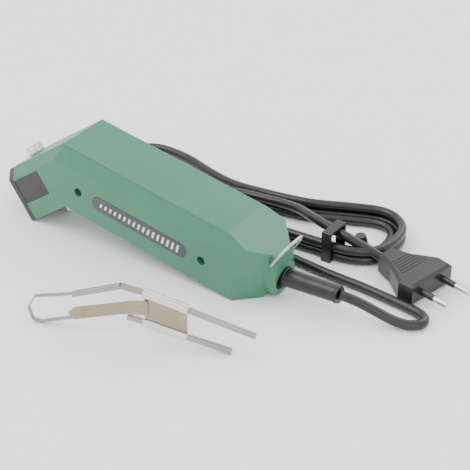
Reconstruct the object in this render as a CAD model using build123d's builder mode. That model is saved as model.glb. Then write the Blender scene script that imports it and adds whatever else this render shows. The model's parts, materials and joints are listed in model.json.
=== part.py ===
from build123d import *
import math
import os

os.makedirs("parts", exist_ok=True)

# ---------------------------------------------------------------- driving dimensions (mm)
HALF_WIDTH = 23.0        # side faces
GROOVE_Y = 17.7          # where the soft shoulder meets the spine
TAIL_Y = 8.5             # half width of the full-length middle slab
WALL = 2.5
EDGE_ROUND = 1.6
HEIGHT = 40.4            # underside to spine
BODY_LENGTH = 123.4      # rear resting edge to the bend under the head
HEAD_ANGLE = 45.0        # bend of the head
HEAD_HEIGHT = 34.0       # across the nose
CAP_BACK = 29.5          # along the head: where the black cap starts
NOSE = 33.5              # along the head: front face
ROD_GAP = 18.5           # between the two blade rods
ROD_RADIUS = 1.75
SOCKET_RADIUS = 1.8
SOCKET_DEPTH = 16.0
UPPER_SCREW = 24.8       # clamp screws, along the head
LOWER_SCREW = 19.4
KNOB_RADIUS = 5.5
KNOB_HEIGHT = 5.4
CORD_RADIUS = 2.9
WIRE_RADIUS = 1.0        # hanging loop
PIN_RADIUS = 2.0
PIN_GAP = 18.6
PIN_LENGTH = 19.0
SHIFT_X = 55.8           # puts the row's origin under the middle of tool and blade
SHIFT_Y = 39.9

# ---------------------------------------------------------------- frames
bend = math.radians(HEAD_ANGLE)
along = Vector(-math.cos(bend), 0, -math.sin(bend))
up = Vector(-math.sin(bend), 0, math.cos(bend))
corner = Vector(-BODY_LENGTH, 0, 0)
HEAD = Plane(origin=corner, x_dir=along, z_dir=up)          # sketch plane across the head
nose_low = corner + along * NOSE
tilt = math.degrees(math.atan2(-nose_low.Z, -nose_low.X))   # rests on nose edge and rear edge
FLOOR = Location((SHIFT_X, SHIFT_Y, 0))
TOOL = FLOOR * Location((0, 0, 0), (0, tilt, 0))


def head_plane(distance, height):
    """Plane square to the head's axis, facing out of the nose."""
    return Plane(origin=corner + along * distance + up * height, x_dir=(0, -1, 0), z_dir=along)


def side_plane(offset_y):
    """Plane parallel to the side faces, drawn with x rearward and y up."""
    return Plane.XZ.offset(-offset_y)


def head_point(distance, height):
    point = corner + along * distance + up * height
    return (point.X, point.Z)


def keep(part, name, place=TOOL):
    """Move a finished piece to where it rests, name it and write it."""
    moved = part.moved(place)
    moved.label = name
    export_step(moved, "parts/" + name + ".step")
    return moved


# ---------------------------------------------------------------- housing
PROFILE = [head_point(CAP_BACK, 0), (-BODY_LENGTH, 0), (0, 0), (12.0, 2.0), (18.0, 20.0),
           (16.0, 32.0), (-12.0, HEIGHT), (-131.0, HEIGHT), head_point(CAP_BACK, HEAD_HEIGHT)]
CAVITY = [head_point(CAP_BACK - 3, 3), (-BODY_LENGTH + 1, WALL), (0, WALL), (9.5, 4.4), (14.0, 19.0),
          (12.5, 29.0), (-13.0, HEIGHT - WALL), (-130.0, HEIGHT - WALL), head_point(CAP_BACK - 3, 31)]
CAVITY_TOP = 27.5
SCREW_POSTS = [(-114.2, 15.7), (-24.0, 16.0)]
GLAND = (10.5, 14.3)                   # centre of the cord's opening in the tail
TRIGGER_MIDDLE = -71.5
TRIGGER_HALF = 10.5
WINDOW = (5.7, 11.0, 26.5)             # nose window: back end, low edge, high edge
LABEL = (-68.6, 15.5, 69.0, 9.8)       # centre, length and height of the label's recess

with BuildPart() as shell:
    with BuildSketch(side_plane(0)):
        with BuildLine():
            Polyline(PROFILE, close=True)
        make_face()
    extrude(amount=HALF_WIDTH, both=True)
    for side in (-1, 1):
        with BuildSketch(Plane.YZ.offset(-150)):       # soft shoulder along the handle
            with BuildLine():
                Polyline((side * 23.1, 29), (side * GROOVE_Y, HEIGHT + 0.1),
                         (side * 26, HEIGHT + 4), close=True)
            make_face()
        extrude(amount=180, mode=Mode.SUBTRACT)
        with BuildSketch(head_plane(-20, 0)):          # the same shoulder along the head
            with BuildLine():
                Polyline((side * 23.1, 28), (side * GROOVE_Y, HEAD_HEIGHT + 0.1),
                         (side * 23, 50), (side * 30, 50), (side * 30, 28), close=True)
            make_face()
        extrude(amount=60, mode=Mode.SUBTRACT)
        with BuildSketch(Plane.XY.offset(-1)):         # plan taper of the tail
            with BuildLine():
                Polyline((-1.5, side * 23.1), (13.0, side * TAIL_Y), (30, side * TAIL_Y),
                         (30, side * 30), (-1.5, side * 30), close=True)
            make_face()
        extrude(amount=HEIGHT + 5, mode=Mode.SUBTRACT)
    long_edges = shell.edges().filter_by(Axis.X)
    fillet(long_edges, EDGE_ROUND)
    with BuildSketch(Plane.YZ.offset(GLAND[0] - 6)):
        with Locations((0, GLAND[1])):
            Circle(11.2)
    extrude(amount=13.5)
    with BuildSketch(side_plane(0)):
        with BuildLine():
            Polyline(CAVITY, close=True)
        make_face()
    extrude(amount=TAIL_Y - WALL, both=True, mode=Mode.SUBTRACT)
    with BuildSketch(Plane.XY.offset(WALL)):           # handle's hollow
        with Locations(((-BODY_LENGTH - 4.0) / 2, 0)):
            Rectangle(BODY_LENGTH - 2.0, 2 * (HALF_WIDTH - WALL))
    extrude(amount=CAVITY_TOP - WALL, mode=Mode.SUBTRACT)
    with BuildSketch(Plane.XY.offset(CAVITY_TOP - 1)):
        with Locations(((-BODY_LENGTH - 18.0) / 2, 0)):
            Rectangle(BODY_LENGTH - 6.0, 2 * 15.0)
    extrude(amount=HEIGHT - WALL - CAVITY_TOP + 1, mode=Mode.SUBTRACT)
    with BuildSketch(head_plane(-17, HEAD_HEIGHT / 2)):  # head's hollow
        Rectangle(33, 27.5)
    extrude(amount=CAP_BACK + 19, mode=Mode.SUBTRACT)
    for side in (-1, 1):               # screw posts reach from each side wall to the middle
        with BuildSketch(side_plane(side * (HALF_WIDTH - 1.0))):
            with Locations(*SCREW_POSTS):
                Circle(4.2)
        extrude(amount=side * (HALF_WIDTH - 1.0))
    with BuildSketch(side_plane(-HALF_WIDTH - 1)):
        with Locations(*SCREW_POSTS):
            Circle(2.7)
    extrude(amount=-16, mode=Mode.SUBTRACT)
    with BuildSketch(side_plane(-HALF_WIDTH - 1)):
        with Locations(*SCREW_POSTS):
            Circle(1.6)
    extrude(amount=-37, mode=Mode.SUBTRACT)
    with BuildSketch(Plane.YZ.offset(-2)):
        with Locations((0, GLAND[1])):
            Circle(7.4)
    extrude(amount=30, mode=Mode.SUBTRACT)
    with BuildSketch(HEAD.offset(WINDOW[1])):          # both nose windows in one cut
        with Locations(((WINDOW[0] + CAP_BACK + 2) / 2, 0)):
            Rectangle(CAP_BACK + 2 - WINDOW[0], 2 * HALF_WIDTH + 4)
    extrude(amount=WINDOW[2] - WINDOW[1], mode=Mode.SUBTRACT)
    for reach, height in ((LOWER_SCREW, -6), (UPPER_SCREW, HEAD_HEIGHT - 6)):   # holes for the clamp screws
        with BuildSketch(HEAD.offset(height)):
            with Locations((reach, 0)):
                Circle(2.7)
        extrude(amount=12, mode=Mode.SUBTRACT)
    with BuildSketch(Plane.XY.offset(-2)):             # slot for the trigger
        with Locations((TRIGGER_MIDDLE, 0)):
            Rectangle(2 * TRIGGER_HALF + 0.8, 11.2)
    extrude(amount=6, mode=Mode.SUBTRACT)
    with BuildSketch(side_plane(-HALF_WIDTH)):
        with Locations(LABEL[:2]):
            SlotOverall(LABEL[2], LABEL[3])
    extrude(amount=-0.8, mode=Mode.SUBTRACT)
    with BuildSketch(side_plane(-TAIL_Y - 12)):        # pivot holes of the hanging loop
        with Locations((14.0, 27.0)):
            Circle(WIRE_RADIUS + 0.06)
    extrude(amount=-2 * TAIL_Y - 24, mode=Mode.SUBTRACT)

with BuildPart() as housing_left:
    add(shell.part)
    split(bisect_by=Plane.XZ, keep=Keep.TOP)
keep(housing_left.part, "housing_left")

with BuildPart() as housing_right:
    add(shell.part)
    split(bisect_by=Plane.XZ, keep=Keep.BOTTOM)
keep(housing_right.part, "housing_right")

with BuildPart() as label_plate:
    with BuildSketch(side_plane(-HALF_WIDTH + 0.75)):
        with Locations(LABEL[:2]):
            SlotOverall(LABEL[2] - 0.4, LABEL[3] - 0.4)
    extrude(amount=0.9)
keep(label_plate.part, "label_plate")

with BuildPart() as housing_screws:
    with BuildSketch(side_plane(-10.5)):
        with Locations(*SCREW_POSTS):
            Circle(2.5)
    extrude(amount=2)
    with BuildSketch(side_plane(-10.5)):
        with Locations(*SCREW_POSTS):
            Circle(1.55)
    extrude(amount=-22)
keep(housing_screws.part, "housing_screws")

# ---------------------------------------------------------------- nose
LOWER_ROD = HEAD_HEIGHT / 2 - ROD_GAP / 2
UPPER_ROD = HEAD_HEIGHT / 2 + ROD_GAP / 2
with BuildPart() as nose_insulator:
    with BuildSketch(head_plane(CAP_BACK + 0.02, 0)):
        with BuildLine():
            Polyline((-HALF_WIDTH, 0), (HALF_WIDTH, 0), (HALF_WIDTH, 28.5), (GROOVE_Y, HEAD_HEIGHT),
                         (-GROOVE_Y, HEAD_HEIGHT), (-HALF_WIDTH, 28.5), close=True)
        make_face()
    extrude(amount=NOSE - CAP_BACK - 0.02)
    for side in (-1, 1):
        with BuildSketch(HEAD.offset(WINDOW[1] + 0.15)):
            with Locations(((WINDOW[0] + CAP_BACK) / 2 + 0.5, side * 21.65)):
                Rectangle(CAP_BACK - WINDOW[0] + 0.7, 2.3)
        extrude(amount=WINDOW[2] - WINDOW[1] - 0.3)
    with BuildSketch(head_plane(CAP_BACK - 1, 0)):
        with Locations((0, LOWER_ROD), (0, UPPER_ROD)):
            Circle(3.2)
    extrude(amount=6, mode=Mode.SUBTRACT)
keep(nose_insulator.part, "nose_insulator")


def clamp_block(rod_height, side, reach):
    """Brass terminal: a bore for the rod and a threaded hole for its screw."""
    with BuildPart() as block:
        with BuildSketch(head_plane(13.0, rod_height)):
            with Locations((side * 4.8, 0)):
                Rectangle(21.6, 8.4)
        extrude(amount=CAP_BACK - 13.3)
        with BuildSketch(head_plane(CAP_BACK - SOCKET_DEPTH, rod_height)):
            Circle(SOCKET_RADIUS)
        extrude(amount=SOCKET_DEPTH + 1, mode=Mode.SUBTRACT)
        with BuildSketch(HEAD.offset(rod_height)):
            with Locations((reach, 0)):
                Circle(2.06)
        extrude(amount=side * 8, mode=Mode.SUBTRACT)
    return block.part


def clamp_screw(rod_height, side, reach):
    """Knurled thumb screw whose tip bears on the rod in its socket."""
    surface = HEAD_HEIGHT + 0.6 if side > 0 else -0.6
    with BuildPart() as screw:
        with BuildSketch(HEAD.offset(rod_height + side * (SOCKET_RADIUS + 0.3))):
            with Locations((reach, 0)):
                Circle(2.0)
        extrude(amount=surface + side * 1 - rod_height - side * (SOCKET_RADIUS + 0.3))
        with BuildSketch(HEAD.offset(surface)):
            with Locations((reach, 0)):
                Circle(KNOB_RADIUS)
        extrude(amount=side * KNOB_HEIGHT)
    return screw.part


keep(clamp_block(UPPER_ROD, 1, UPPER_SCREW), "upper_clamp_block")
keep(clamp_block(LOWER_ROD, -1, LOWER_SCREW), "lower_clamp_block")
keep(clamp_screw(UPPER_ROD, 1, UPPER_SCREW), "upper_clamp_screw")
keep(clamp_screw(LOWER_ROD, -1, LOWER_SCREW), "lower_clamp_screw")

# ---------------------------------------------------------------- handle insides
CORE = (-59.0, 23.75, 42.0, 25.5)      # middle u, middle v, length, height


def side_block(middle_u, middle_v, length, height, low_y, high_y):
    """Rectangle in side view, between two offsets from the middle plane."""
    with BuildPart() as block:
        with BuildSketch(side_plane(high_y)):
            with Locations((middle_u, middle_v)):
                Rectangle(length, height)
        extrude(amount=high_y - low_y)
    return block.part


with BuildPart() as transformer_core:
    add(side_block(*CORE, -8, 8))
    for step in (-1, 1):
        add(side_block(CORE[0] + step * 10.5, CORE[1], 11, 17.5, -9, 9), mode=Mode.SUBTRACT)
keep(transformer_core.part, "transformer_core")

with BuildPart() as transformer_bobbin:
    for height in (15.6, 23.75, 31.9):
        add(side_block(CORE[0], height, 30.0, 1.0, -14.7, 14.7))
    add(side_block(CORE[0], CORE[1], 14.0, 17.3, -11, 11))
    add(side_block(CORE[0], CORE[1], 10.3, 19.0, -8.2, 8.2), mode=Mode.SUBTRACT)
keep(transformer_bobbin.part, "transformer_bobbin")


def winding(name, middle_v, height):
    with BuildPart() as coil:
        add(side_block(CORE[0], middle_v, 29.0, height, -14.2, 14.2))
        add(side_block(CORE[0], middle_v, 14.2, height + 2, -11.1, 11.1), mode=Mode.SUBTRACT)
    keep(coil.part, name)


winding("primary_winding", 19.7, 6.8)
winding("secondary_winding", 27.8, 6.8)


def busbar(name, points, low_y, high_y):
    """Copper strap from the secondary winding to a clamp block."""
    with BuildPart() as strap:
        with BuildSketch(side_plane(high_y)):
            with BuildLine():
                Polyline(points)
            trace(line_width=1.6)
        extrude(amount=high_y - low_y)
    keep(strap.part, name)


busbar("upper_busbar", [(-75.0, 27.8), (-116, 27.8), head_point(12.1, UPPER_ROD)], -13.5, -9.5)
busbar("lower_busbar", [(-75.0, 27.0), (-100, 27.0), (-110, 9.0), (-121.5, 9.0), head_point(12.1, LOWER_ROD)], 9.5, 13.5)

with BuildPart() as microswitch:
    add(side_block(-95, 14.5, 18, 9, -4, 4))
    add(side_block(-95, 8.8, 2.4, 2.6, -1.5, 1.5))
keep(microswitch.part, "microswitch")
keep(side_block(-59, 38.0 - 0.8, 12, 1.2, -4, 4), "thermal_cutout")

TRIGGER_TRAVEL = 2.4
with BuildPart() as trigger:
    add(side_block(TRIGGER_MIDDLE, -0.2, 2 * TRIGGER_HALF, 6.0, -5.2, 5.2))
    add(side_block(TRIGGER_MIDDLE, 3.7, 2 * TRIGGER_HALF + 4, 1.8, -7, 7))
    add(side_block(-90, 3.7, 18, 1.8, -3, 3))
keep(trigger.part, "trigger")

with BuildPart() as trigger_spring:
    with BuildSketch(Plane.XY.offset(4.65)):
        with Locations((TRIGGER_MIDDLE, 0)):
            Circle(3.2)
            Circle(2.6, mode=Mode.SUBTRACT)
    extrude(amount=6.3)
keep(trigger_spring.part, "trigger_spring")

with BuildPart() as inner_cord:
    with BuildSketch(Plane.YZ.offset(-15)):
        with Locations((0, GLAND[1] - 1.5)):
            Circle(CORD_RADIUS)
    extrude(amount=18)
keep(inner_cord.part, "inner_cord")

with BuildPart() as cord_clamp:
    add(side_block(-9, GLAND[1] + 3.0, 6, 3, -10, 10))
keep(cord_clamp.part, "cord_clamp")

with BuildPart() as cord_clamp_screws:
    with BuildSketch(Plane.XY.offset(GLAND[1] + 4.55)):
        with Locations((-9, 7), (-9, -7)):
            Circle(2.0)
    extrude(amount=1.6)
keep(cord_clamp_screws.part, "cord_clamp_screws")

# ---------------------------------------------------------------- tail: boot and hanging loop
BOOT_LOW = (16.0, 12.2)                # where the boot passes the tail, resting frame x and z
BOOT_HIGH = (57.0, 14.3)
boot_axis = Vector(BOOT_HIGH[0] - BOOT_LOW[0], 0, BOOT_HIGH[1] - BOOT_LOW[1])
boot_plane = Plane(origin=(BOOT_LOW[0], 0, BOOT_LOW[1]), x_dir=(0, 1, 0), z_dir=boot_axis)
with BuildPart() as strain_relief:
    with BuildSketch(boot_plane.offset(-9)):
        Circle(5.7)
    with BuildSketch(boot_plane.offset(boot_axis.length)):
        Circle(5.0)
    loft()
keep(strain_relief.part, "strain_relief", FLOOR)

LOOP_PIVOT = (14.0, 27.0)
LOOP_HALF = TAIL_Y + 2.4
with BuildPart() as bail:
    with BuildLine():
        FilletPolyline((LOOP_PIVOT[0], -TAIL_Y + 1.0, LOOP_PIVOT[1]),
                       (LOOP_PIVOT[0], -LOOP_HALF, LOOP_PIVOT[1]),
                       (LOOP_PIVOT[0] + 6.5, -LOOP_HALF, LOOP_PIVOT[1] + 15),
                       (LOOP_PIVOT[0] + 6.5, LOOP_HALF, LOOP_PIVOT[1] + 15),
                       (LOOP_PIVOT[0], LOOP_HALF, LOOP_PIVOT[1]),
                       (LOOP_PIVOT[0], TAIL_Y - 1.0, LOOP_PIVOT[1]), radius=[1.2, 8.5, 8.5, 1.2])
    with BuildSketch(side_plane(-TAIL_Y + 1.0)):
        with Locations(LOOP_PIVOT):
            Circle(WIRE_RADIUS)
    sweep()
keep(bail.part, "bail")

# ---------------------------------------------------------------- cord
def tube(name, points, radius=CORD_RADIUS, least=0.0):
    """Round tube along straight runs joined by arcs as large as the runs allow."""
    nodes = [Vector(*point) for point in points]
    runs = [(nodes[i + 1] - nodes[i]).length for i in range(len(nodes) - 1)]
    radii = []
    for i in range(1, len(nodes) - 1):
        turn = (nodes[i] - nodes[i - 1]).get_angle(nodes[i + 1] - nodes[i])
        radii.append(0.45 * min(runs[i - 1], runs[i]) / math.tan(math.radians(turn / 2)))
    print(name, "radii", [round(value, 1) for value in radii])
    with BuildPart() as run:
        with BuildLine() as route:
            FilletPolyline(*points, radius=radii)
        with BuildSketch(Plane(origin=nodes[0], z_dir=nodes[1] - nodes[0])):
            Circle(radius)
        sweep()
    length = sum(edge.length for edge in route.line.edges())
    print(name, "length", round(length), "volume ratio", round(run.part.volume / (math.pi * radius ** 2 * length), 4))
    keep(run.part, name, FLOOR)


LEAD = [(57.7, 0.1, 14.34), (66, 1.5, 13.6), (76, 4.6, 9.2), (86, 8, 4.4), (95, 10.5, 3.0), (101, 16, 3.0),
        (99, 22.5, 3.0), (90, 25, 3.0), (74, 26.4, 3.0), (54, 28.2, 3.0), (32, 27.9, 3.0), (12, 29.6, 3.0),
        (-10, 31, 3.0), (-30, 33.5, 3.1), (-50, 37, 4.0)]
OUTER = [(-60, 52, 6.0), (-80, 50, 3.2), (-104, 50.5, 3.0), (-128, 56, 3.0), (-145, 69, 3.0), (-148, 82, 3.0),
         (-138, 90.5, 3.0), (-115, 90, 3.0), (-92, 83, 3.0), (-71, 78.5, 3.0), (-52, 76.5, 4.0)]
TAIL = [(2, 50.0, 12.0), (15, 50.4, 15.2), (28, 51.6, 15.4), (41, 54.3, 10.5), (53.2, 54.7, 7.1)]
tube("cord_lead", LEAD)
tube("cord_outer_turn", OUTER)
tube("cord_tail", TAIL)

HANK = [(-62, 43), (34, 50), (48, 60), (46, 88), (30, 97), (-12, 76), (-62, 68)]
HANK_WIDTH = 13.0
HANK_HEIGHT = 12.0
with BuildPart() as cord_hank:
    with BuildSketch(Plane.XY.offset(0.1)):
        for start, end in zip(HANK, HANK[1:] + HANK[:1]):
            run = Vector(*end) - Vector(*start)
            middle = (Vector(*end) + Vector(*start)) * 0.5
            with Locations(Location((middle.X, middle.Y, 0), (0, 0, math.degrees(math.atan2(run.Y, run.X))))):
                SlotCenterToCenter(run.length, HANK_WIDTH)
    extrude(amount=HANK_HEIGHT)
keep(cord_hank.part, "cord_hank", FLOOR)

with BuildPart() as cord_tie:
    with BuildSketch(Plane.YZ.offset(19)):
        with Locations((50.0, 9.9)):
            Rectangle(17.5, 19.6)
            Rectangle(14.7, 16.8, mode=Mode.SUBTRACT)
    extrude(amount=6)
keep(cord_tie.part, "cord_tie", FLOOR)

with BuildPart() as tie_button:
    with BuildSketch(Plane.XY.offset(0.2)):
        with Locations((31.5, 65.5)):
            Circle(5.5)
    with BuildSketch(Plane.XY.offset(9.5)):
        with Locations((31.5, 65.5)):
            Circle(3.2)
    loft()
keep(tie_button.part, "tie_button", FLOOR)

# ---------------------------------------------------------------- plug
PLUG = Plane(origin=(89.3, 47.0, 7.1), x_dir=(math.cos(math.radians(11.7)), -math.sin(math.radians(11.7)), 0),
             z_dir=(0, 0, 1))
with BuildPart() as plug_body:
    with BuildSketch(PLUG.offset(-6.9)):
        with BuildLine():
            Polyline((0, -17.0), (0, 17.0), (-10, 17.6), (-24, 9), (-35.8, 5.5),
                     (-35.8, -5.5), (-24, -9), (-10, -17.6), close=True)
        make_face()
    extrude(amount=13.7)
    chamfer(plug_body.faces().filter_by(Axis.Z).edges(), 1.6)
keep(plug_body.part, "plug_body", FLOOR)

PLUG_FRONT = Plane(origin=(89.3, 47.0, 7.1), x_dir=(math.sin(math.radians(11.7)), math.cos(math.radians(11.7)), 0),
                   z_dir=(math.cos(math.radians(11.7)), -math.sin(math.radians(11.7)), 0))
for name, radius, start, end in (("pin_sleeves", PIN_RADIUS, 0.0, 10.0), ("plug_pins", PIN_RADIUS, 10.0, PIN_LENGTH)):
    with BuildPart() as pins:
        with BuildSketch(PLUG_FRONT.offset(start)):
            with Locations((-PIN_GAP / 2, 0), (PIN_GAP / 2, 0)):
                Circle(radius)
        extrude(amount=end - start)
    keep(pins.part, name, FLOOR)

# ---------------------------------------------------------------- blade, lying in front of the tool
BLADE_TURN = math.radians(20.1)
BLADE = Plane(origin=(-78.2, -101.4, 0), x_dir=(math.cos(BLADE_TURN), math.sin(BLADE_TURN), 0),
              z_dir=(math.sin(BLADE_TURN), -math.cos(BLADE_TURN), 0))
UPPER = [(126.5, 14.2), (89.1, 24.6), (64.3, 31.5), (52.1, 33.6), (24.3, 23.3)]
LOWER = [(113.1, 1.9), (88.3, 6.6), (63.9, 12.3), (55.0, 14.0)]


def on_blade(point):
    return BLADE.from_local_coords(Vector(point[0], point[1], 0))


def round_piece(start, end, radius):
    """Round bar between two points of the blade's plane."""
    low, high = on_blade(start), on_blade(end)
    with BuildPart() as bar:
        with BuildSketch(Plane(origin=low, z_dir=high - low)):
            Circle(radius)
        extrude(amount=(high - low).length)
    return bar.part


with BuildPart() as upper_rod:
    for i in range(len(UPPER) - 1):
        add(round_piece(UPPER[i], UPPER[i + 1], ROD_RADIUS))
keep(upper_rod.part, "upper_rod", FLOOR)
with BuildPart() as lower_rod:
    for i in range(len(LOWER) - 1):
        add(round_piece(LOWER[i], LOWER[i + 1], ROD_RADIUS))
keep(lower_rod.part, "lower_rod", FLOOR)

for name, points in (("upper_sleeve", UPPER), ("lower_sleeve", LOWER)):
    with BuildPart() as sleeve:
        add(round_piece(points[1], points[2], 2.7))
        add(round_piece(points[1], points[2], ROD_RADIUS), mode=Mode.SUBTRACT)
    keep(sleeve.part, name, FLOOR)

with BuildPart() as clamp_plate:
    with BuildSketch(BLADE.offset(-0.5)):
        with BuildLine():
            Polyline((65.1, 28.2), (65.1, 15.0), (88.6, 9.6), (88.6, 21.6), close=True)
        make_face()
    extrude(amount=1.0)
keep(clamp_plate.part, "clamp_plate", FLOOR)

with BuildPart() as cutting_foot:
    with BuildSketch(BLADE.offset(0.6)):
        with BuildLine():
            Polyline((67.0, 27.0), (67.0, 17.8), (52.4, 16.1), (24.5, 7.3), (21.0, 11.5), (25.0, 15.4),
                     (57.9, 25.4), close=True)
        make_face()
    extrude(amount=0.8)
keep(cutting_foot.part, "cutting_foot", FLOOR)

RIBBON = [(24.6, 23.4), (19.5, 21.8), (1.5, 17.5), (-2.6, 9.5), (-0.6, 2.0), (4.0, 0.9), (20.5, 6.4), (27.0, 8.6)]
with BuildPart() as heating_ribbon:
    with BuildSketch(BLADE.offset(-2.0)):
        with BuildLine():
            FilletPolyline(*RIBBON, radius=2.0)
        trace(line_width=0.7)
    extrude(amount=2.5)
keep(heating_ribbon.part, "heating_ribbon", FLOOR)
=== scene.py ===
import bpy
import bmesh
import json
import math
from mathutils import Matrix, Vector


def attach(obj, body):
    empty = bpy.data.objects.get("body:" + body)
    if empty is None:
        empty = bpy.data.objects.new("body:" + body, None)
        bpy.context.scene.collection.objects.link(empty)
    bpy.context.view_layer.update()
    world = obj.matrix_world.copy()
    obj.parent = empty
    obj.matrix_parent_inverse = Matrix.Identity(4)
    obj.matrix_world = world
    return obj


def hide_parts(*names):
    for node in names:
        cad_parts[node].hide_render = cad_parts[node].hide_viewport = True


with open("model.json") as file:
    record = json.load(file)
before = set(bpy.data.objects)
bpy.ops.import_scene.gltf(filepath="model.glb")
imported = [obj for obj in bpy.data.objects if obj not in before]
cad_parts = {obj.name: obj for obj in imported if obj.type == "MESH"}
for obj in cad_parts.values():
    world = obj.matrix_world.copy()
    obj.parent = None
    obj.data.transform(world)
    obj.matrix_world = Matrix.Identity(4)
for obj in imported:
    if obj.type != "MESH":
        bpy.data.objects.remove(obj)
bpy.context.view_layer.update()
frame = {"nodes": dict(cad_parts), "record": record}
nodes = frame["nodes"]

# ---------------------------------------------------------------- places
SHIFT = Vector((0.0558, 0.0399, 0.0))      # tool's rear resting edge in the row frame, in metres
TILT = math.radians(9.149)                 # the handle rises towards its bend
BEND = math.radians(45)                    # and the head drops from there
BEND_AT = -123.4                           # mm along the underside


def mm(x, y, z):
    """Point given in mm from the tool's rear resting edge."""
    return Vector((x, y, z)) * 0.001 + SHIFT


def tool(back, side, up):
    """Point of the tilted handle, in mm: back along it, sideways, and up from its underside."""
    return mm(back * math.cos(TILT) + up * math.sin(TILT), side, up * math.cos(TILT) - back * math.sin(TILT))


def head(along, side, height):
    """Point of the head, in mm: along towards the nose, sideways, and height from its lower face."""
    back = BEND_AT - along * math.cos(BEND) - height * math.sin(BEND)
    return tool(back, side, height * math.cos(BEND) - along * math.sin(BEND))


# ---------------------------------------------------------------- materials
ROUGH_SPREAD = 0.08
BUMP_DEPTH = 0.0002


def material(name, color, rough, metal=0.0, color2=None, scale=300.0, bump=0.1, mix_scale=40.0):
    """Principled surface with mottled colour, uneven roughness and a fine bump."""
    mat = bpy.data.materials.new(name)
    mat.use_nodes = True
    tree = mat.node_tree
    shader = tree.nodes["Principled BSDF"]
    shader.inputs["Metallic"].default_value = metal
    place = tree.nodes.new("ShaderNodeTexCoord")
    broad = tree.nodes.new("ShaderNodeTexNoise")
    broad.inputs["Scale"].default_value = mix_scale
    broad.inputs["Detail"].default_value = 6.0
    ramp = tree.nodes.new("ShaderNodeValToRGB")
    other = color2 if color2 else [c * 0.82 for c in color]
    ramp.color_ramp.elements[0].position = 0.3
    ramp.color_ramp.elements[0].color = (*other, 1)
    ramp.color_ramp.elements[1].position = 0.7
    ramp.color_ramp.elements[1].color = (*color, 1)
    fine = tree.nodes.new("ShaderNodeTexNoise")
    fine.inputs["Scale"].default_value = scale
    fine.inputs["Detail"].default_value = 4.0
    spread = tree.nodes.new("ShaderNodeMapRange")
    spread.inputs["To Min"].default_value = max(0.02, rough - ROUGH_SPREAD)
    spread.inputs["To Max"].default_value = min(1.0, rough + ROUGH_SPREAD)
    relief = tree.nodes.new("ShaderNodeBump")
    relief.inputs["Strength"].default_value = bump
    relief.inputs["Distance"].default_value = BUMP_DEPTH
    links = tree.links
    links.new(place.outputs["Object"], broad.inputs["Vector"])
    links.new(place.outputs["Object"], fine.inputs["Vector"])
    links.new(broad.outputs["Fac"], ramp.inputs["Fac"])
    links.new(ramp.outputs["Color"], shader.inputs["Base Color"])
    links.new(fine.outputs["Fac"], spread.inputs["Value"])
    links.new(spread.outputs["Result"], shader.inputs["Roughness"])
    links.new(fine.outputs["Fac"], relief.inputs["Height"])
    links.new(relief.outputs["Normal"], shader.inputs["Normal"])
    return mat


GREEN = material("green_shell", (0.043, 0.190, 0.108), 0.40, color2=(0.037, 0.168, 0.096), scale=1400,
                 bump=0.12, mix_scale=25)
BLACK = material("black_plastic", (0.022, 0.021, 0.021), 0.35, color2=(0.013, 0.013, 0.013), scale=900)
CORD = material("black_rubber", (0.012, 0.012, 0.012), 0.30, color2=(0.007, 0.007, 0.007), scale=500,
                bump=0.05)
LABEL = material("label_grey", (0.060, 0.062, 0.066), 0.45, scale=800, bump=0.05)
MARK = material("label_mark", (0.78, 0.79, 0.80), 0.5, scale=800, bump=0.05)
STEEL = material("steel", (0.56, 0.55, 0.52), 0.28, 1.0, scale=900, bump=0.08)
NICKEL = material("nickel", (0.78, 0.76, 0.73), 0.22, 1.0, scale=700, bump=0.06)
ROD = material("rod_steel", (0.40, 0.38, 0.35), 0.22, 1.0, color2=(0.30, 0.27, 0.24), scale=600, bump=0.08)
TINTED = material("tinted_steel", (0.40, 0.33, 0.24), 0.2, 1.0, color2=(0.30, 0.24, 0.18), scale=500,
                  bump=0.08, mix_scale=120)
BRASS = material("brass", (0.76, 0.60, 0.30), 0.3, 1.0)
COPPER = material("copper", (0.72, 0.40, 0.24), 0.3, 1.0, color2=(0.6, 0.3, 0.17))
IRON = material("core_iron", (0.20, 0.20, 0.22), 0.5, 0.8)
BOBBIN = material("bobbin_plastic", (0.80, 0.78, 0.70), 0.5)
# Darker green for the shoulder lines: painted shade of the groove that runs along each shoulder.
GROOVE_SHADE = material("green_groove_shade", (0.040, 0.150, 0.092), 0.5, scale=900)
SLOTS = {"green_shell": GREEN, "black_plastic": BLACK, "black_rubber": CORD, "label_grey": LABEL,
         "steel": STEEL, "nickel": NICKEL, "rod_steel": ROD, "tinted_steel": TINTED, "brass": BRASS,
         "copper": COPPER, "core_iron": IRON, "bobbin_plastic": BOBBIN}
for entry in frame["record"]["subparts"]:
    cad = nodes[entry["node"]]
    cad.data.materials.clear()
    cad.data.materials.append(SLOTS[entry["material_slot"]])


# ---------------------------------------------------------------- makers of pieces
def finish_piece(obj, body, mat, slot, *replaced):
    obj.data.materials.append(mat)
    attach(obj, body)
    if replaced:
        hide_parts(*replaced)
    return obj


def mesh_object(name, bm, smooth=True):
    mesh = bpy.data.meshes.new(name)
    bm.to_mesh(mesh)
    bm.free()
    for face in mesh.polygons:
        face.use_smooth = smooth
    obj = bpy.data.objects.new(name, mesh)
    bpy.context.scene.collection.objects.link(obj)
    return obj


def curve_object(name, kind, points, radius, roundness):
    """Round line along some points."""
    curve = bpy.data.curves.new(name, "CURVE")
    curve.dimensions = "3D"
    curve.bevel_depth = 1.0
    curve.bevel_resolution = roundness
    curve.use_fill_caps = True
    line = curve.splines.new(kind)
    line.points.add(len(points) - 1)
    for point, place in zip(line.points, points):
        point.co = (*place, 1)
        point.radius = radius
    obj = bpy.data.objects.new(name, curve)
    bpy.context.scene.collection.objects.link(obj)
    return obj


def bead(name, points, radius, body, mat, slot):
    """Fine raised line along some points."""
    return finish_piece(curve_object(name, "POLY", points, radius, 3), body, mat, slot)


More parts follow.
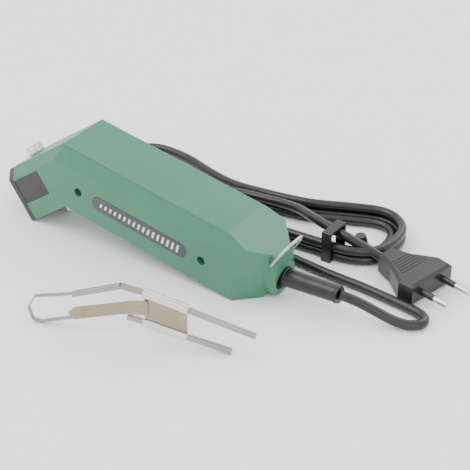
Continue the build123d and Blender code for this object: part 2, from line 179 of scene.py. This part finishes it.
def skin(bm, rings):
    """Closed skin over a stack of rings that have as many points each."""
    for low, high in zip(rings, rings[1:]):
        for i in range(len(low)):
            j = (i + 1) % len(low)
            bm.faces.new((low[i], low[j], high[j], high[i]))
    bm.faces.new(rings[-1])
    bm.faces.new(list(reversed(rings[0])))


def plate(name, corners, normal, thickness, body, mat, slot):
    """Thin slab on a surface, from its corners."""
    bm = bmesh.new()
    base = [bm.verts.new(corner) for corner in corners]
    top = [bm.verts.new(corner + normal * thickness) for corner in corners]
    skin(bm, [base, top])
    bmesh.ops.recalc_face_normals(bm, faces=bm.faces)
    return finish_piece(mesh_object(name, bm, False), body, mat, slot)


# ---------------------------------------------------------------- cord: one line from boot to plug
CORD_RADIUS = 0.0029
STRAND = 5.9               # mm from one strand of the hank to the next

# The free stretches' points, in mm, as in part.py.
LEAD = [(57.7, 0.1, 14.34), (66, 1.5, 13.6), (76, 4.6, 9.2), (86, 8, 4.4), (95, 10.5, 3.0), (101, 16, 3.0),
        (99, 22.5, 3.0), (90, 25, 3.0), (74, 26.4, 3.0), (54, 28.2, 3.0), (32, 27.9, 3.0), (12, 29.6, 3.0),
        (-10, 31, 3.0), (-30, 33.5, 3.1), (-50, 37, 4.0)]
OUTER = [(-60, 52, 6.0), (-80, 50, 3.2), (-104, 50.5, 3.0), (-128, 56, 3.0), (-145, 69, 3.0),
         (-148, 82, 3.0), (-138, 90.5, 3.0), (-115, 90, 3.0), (-92, 83, 3.0), (-71, 78.5, 3.0),
         (-52, 76.5, 4.0)]
TAIL = [(2, 50.0, 12.0), (15, 50.4, 15.2), (28, 51.6, 15.4), (41, 54.3, 10.5), (53.2, 54.7, 7.1)]

# One turn of the hank, each point with the direction that leads away from its middle.
TURN = [((-62, 43), (-0.6, -0.8)), ((-66, 55), (-1, 0)), ((-60, 67), (-0.5, 0.87)), ((-38, 71), (-0.15, 1)),
        ((-12, 76), (-0.3, 0.95)), ((10, 87), (-0.5, 0.87)), ((31, 96), (0.1, 1)), ((45, 88), (0.9, 0.4)),
        ((48, 73), (1, 0)), ((46, 58), (0.9, -0.4)), ((34, 50), (0.4, -0.9)), ((14, 48.5), (0.1, -1)),
        ((-12, 46.5), (0.08, -1)), ((-38, 44.5), (0.09, -1))]
# Each turn's place outward, in strands, and its height.
LANES = [(-0.5, 3.1), (0.5, 3.1), (0.52, 9.0), (-0.5, 9.0)]
CROSSING = [(-14, 67, 12), (5, 57.5, 15)]      # over the hank's middle, to its tie


def hank_turn(lane, start=0, stop=None):
    """Points of one turn of the hank, or of a part of it."""
    outward, height = lane
    points = []
    for (x, y), (out_x, out_y) in TURN[start:stop]:
        reach = outward * STRAND / math.hypot(out_x, out_y)
        points.append((x + out_x * reach, y + out_y * reach, height))
    return points


def spline_length(obj):
    """Length of the curve's own line, measured with no bevel."""
    depth = obj.data.bevel_depth
    obj.data.bevel_depth = 0
    mesh = bpy.data.meshes.new_from_object(obj)
    obj.data.bevel_depth = depth
    points = [vertex.co for vertex in mesh.vertices]
    return sum((b - a).length for a, b in zip(points, points[1:]))


# Two turns on the floor, then the outer turn, then about one turn on top of the others. OUTER's two ends and
# TAIL's first two points are left out, because the hank's own turns run there.
route = (LEAD + hank_turn(LANES[0], start=1) + hank_turn(LANES[1]) + OUTER[1:-1]
         + hank_turn(LANES[2], start=3) + hank_turn(LANES[3], stop=4) + CROSSING + TAIL[2:])

mains = curve_object("mains_cord", "NURBS", [mm(*point) for point in route], CORD_RADIUS, 6)
mains.data.resolution_u = 6
mains.data.splines[0].order_u = 3
mains.data.splines[0].use_endpoint_u = True
finish_piece(mains, "housing", CORD, "black_rubber", "cord_lead", "cord_outer_turn", "cord_hank", "cord_tail")
round(spline_length(mains), 3)

# ---------------------------------------------------------------- raised line along each shoulder, darker green: painted shade of the groove there
LINE_SIDE = 18.1           # mm out from the middle plane
LINE_UP = 39.0             # mm up from the handle's underside
LINE_HEAD_HEIGHT = 33.0    # mm up from the head's lower face
LINE_ON_HEAD = (28.5, -12.2)
LINE_ON_HANDLE = (-129, -14)
LINE_RADIUS = 0.00045
for side, label in ((-1, "left"), (1, "right")):
    points = [head(along, side * LINE_SIDE, LINE_HEAD_HEIGHT) for along in LINE_ON_HEAD]
    points += [tool(back, side * LINE_SIDE, LINE_UP) for back in LINE_ON_HANDLE]
    bead("shoulder_line_" + label, points, LINE_RADIUS, "housing", GROOVE_SHADE, "green_shell")

# ---------------------------------------------------------------- clamp screws' knurled heads, in mm
KNOB_RADIUS = 5.35
FLUTES = 26
FLUTE_DEPTH = 0.13
KNOB_LEVELS = [(0.0, 0.90), (0.5, 1.0), (4.8, 1.0), (5.35, 0.88)]    # level, and share of the radius there
STEM_RADIUS = 2
STEM_LEVELS = (0.3, -7.0)
STEM_SIDES = 20
UPPER_SCREW = 24.8         # along the head, as in part.py
LOWER_SCREW = 19.4
UPPER_FACE = 34.6          # heights at which the two knobs start
LOWER_FACE = -0.6


def knurled_knob(name, body, node, along, surface, direction):
    """Thumb screw with a fluted rim, a chamfered face and a plain stem."""
    bm = bmesh.new()

    def ring(radius_at, sides, level):
        height = surface + direction * level
        points = []
        for i in range(sides):
            angle = math.tau * i / sides
            radius = radius_at(angle)
            points.append(head(along + radius * math.cos(angle), radius * math.sin(angle), height))
        return [bm.verts.new(point) for point in points]

    def fluted(share):
        return lambda angle: (KNOB_RADIUS + FLUTE_DEPTH * math.cos(FLUTES * angle)) * share

    skin(bm, [ring(fluted(share), FLUTES * 4, level) for level, share in KNOB_LEVELS])
    skin(bm, [ring(lambda angle: STEM_RADIUS, STEM_SIDES, level) for level in STEM_LEVELS])
    bmesh.ops.recalc_face_normals(bm, faces=bm.faces)
    return finish_piece(mesh_object(name, bm, False), body, NICKEL, "nickel", node)


knurled_knob("upper_knob", "upper_screw", "upper_clamp_screw", UPPER_SCREW, UPPER_FACE, 1)
knurled_knob("lower_knob", "lower_screw", "lower_clamp_screw", LOWER_SCREW, LOWER_FACE, -1)

# ---------------------------------------------------------------- generic marking on the label
# A row of slanted bars that grow along the plate, in mm.
BAR_COUNT = 17
FIRST_BAR = -96.5
BAR_PITCH = 3.5
BAR_HALF_MIN = 1.2
BAR_HALF_GROWTH = 1.3
BAR_UP = 15.5
LABEL_FACE = -23.14
BAR_THICKNESS = 0.00012    # metres
OUTWARD = Vector((0, -1, 0))
for i in range(BAR_COUNT):
    middle = FIRST_BAR + i * BAR_PITCH
    half = BAR_HALF_MIN + BAR_HALF_GROWTH * i / (BAR_COUNT - 1)
    outline = ((-0.9, -half), (0.5, -half), (1.1, half), (-0.3, half))
    corners = [tool(middle + back, LABEL_FACE, BAR_UP + up) for back, up in outline]
    plate("label_bar_%02d" % i, corners, OUTWARD, BAR_THICKNESS, "housing", MARK, "label_grey")

# ---------------------------------------------------------------- grip ribs on the plug's upper face
PLUG_BASE = mm(89.3, 47.0, 7.1)
PLUG_TURN = math.radians(11.7)
FORWARD = Vector((math.cos(PLUG_TURN), -math.sin(PLUG_TURN), 0))
SIDEWAYS = Vector((math.sin(PLUG_TURN), math.cos(PLUG_TURN), 0))
PLUG_TOP = Vector((0, 0, 0.0067))
RIB_COUNT = 6
FIRST_RIB = 0.0135         # metres behind the plug's front face
RIB_PITCH = 0.0022
FIRST_RIB_HALF = 0.0105
RIB_SHRINK = 0.0009        # each rib is shorter, as the plug narrows
RIB_RADIUS = 0.0005
for i in range(RIB_COUNT):
    centre = PLUG_BASE - FORWARD * (FIRST_RIB + RIB_PITCH * i) + PLUG_TOP
    reach = SIDEWAYS * (FIRST_RIB_HALF - RIB_SHRINK * i)
    bead("plug_rib_%d" % i, [centre - reach, centre + reach], RIB_RADIUS, "housing", BLACK, "black_plastic")

# ---------------------------------------------------------------- boot: rolled rim, and collar at the tail
BOOT_START = mm(16.0, 0, 12.2)
BOOT_END = mm(57.0, 0, 14.3)
BOOT_LINE = (BOOT_END - BOOT_START).normalized()
BOOT_SIDE = Vector((0, 1, 0))
BOOT_UP = BOOT_LINE.cross(BOOT_SIDE).normalized()
RING_SIDES = 40
RING_RADIUS = 0.0006       # of the ring's own round edge
RING_ANGLES = [math.tau * i / RING_SIDES for i in range(RING_SIDES + 1)]
for name, distance, radius in (("boot_rim", 0.0395, 0.0048), ("boot_collar", 0.0065, 0.0054)):
    centre = BOOT_START + BOOT_LINE * distance
    circle = [centre + (BOOT_SIDE * math.cos(angle) + BOOT_UP * math.sin(angle)) * radius
              for angle in RING_ANGLES]
    bead(name, circle, RING_RADIUS, "housing", CORD, "black_rubber")

# ---------------------------------------------------------------- weld spots, blade foot to clamp plate
BLADE_TURN = math.radians(20.1)
BLADE_START = (-78.2, -101.4)
BLADE_OUT = Vector((math.sin(BLADE_TURN), -math.cos(BLADE_TURN), 0))
SPOT_RADIUS = 0.9
SPOT_SIDES = 16
SPOT_FACE = 0.0014         # metres out from the blade's middle plane
SPOT_THICKNESS = 0.00015


def blade(along, height):
    """Point on the welded face of the loose blade, in mm along it and up from the floor."""
    x = BLADE_START[0] + along * math.cos(BLADE_TURN)
    y = BLADE_START[1] + along * math.sin(BLADE_TURN)
    return mm(x, y, height) + BLADE_OUT * SPOT_FACE


for i, (along, height) in enumerate(((61.5, 21.5), (65.0, 22.5))):
    angles = [math.tau * k / SPOT_SIDES for k in range(SPOT_SIDES)]
    spot = [blade(along + SPOT_RADIUS * math.cos(angle), height + SPOT_RADIUS * math.sin(angle))
            for angle in angles]
    plate("weld_spot_%d" % i, spot, BLADE_OUT, SPOT_THICKNESS, "blade", ROD, "rod_steel")

# ---------------------------------------------------------------- camera, floor and light
AZIMUTH = math.radians(35)
ELEVATION = math.radians(32.8)
DISTANCE = 0.857
TARGET = mm(-20.3, 9.6, 20)
AWAY = Vector((math.sin(AZIMUTH) * math.cos(ELEVATION), -math.cos(AZIMUTH) * math.cos(ELEVATION),
               math.sin(ELEVATION)))


def facing(direction):
    return direction.to_track_quat("-Z", "Y").to_euler()


camera_data = bpy.data.cameras.new("camera")
camera_data.lens = 113.5
camera_data.sensor_width = 36
camera = bpy.data.objects.new("camera", camera_data)
camera.location = TARGET + AWAY * DISTANCE
camera.rotation_euler = facing(-AWAY)
bpy.context.scene.collection.objects.link(camera)
bpy.context.scene.camera = camera

floor_mesh = bmesh.new()
bmesh.ops.create_grid(floor_mesh, x_segments=4, y_segments=4, size=3)
floor = mesh_object("floor", floor_mesh)
floor.data.materials.append(material("floor", (0.93, 0.93, 0.93), 0.8, color2=(0.91, 0.91, 0.91), bump=0.02))

world = bpy.data.worlds.new("studio")
world.use_nodes = True
world.node_tree.nodes["Background"].inputs["Color"].default_value = (1, 1, 1, 1)
world.node_tree.nodes["Background"].inputs["Strength"].default_value = 1.7
bpy.context.scene.world = world


def lamp(name, place, size, power):
    light = bpy.data.lights.new(name, "AREA")
    light.size = size
    light.energy = power
    obj = bpy.data.objects.new(name, light)
    obj.location = place
    obj.rotation_euler = facing(TARGET - Vector(place))
    bpy.context.scene.collection.objects.link(obj)


lamp("key", (-0.5, -0.3, 1.1), 0.8, 7)
lamp("fill", (0.9, -0.8, 0.7), 0.9, 3)
lamp("back", (0.2, 0.9, 0.8), 0.7, 4)

bpy.context.view_layer.update()
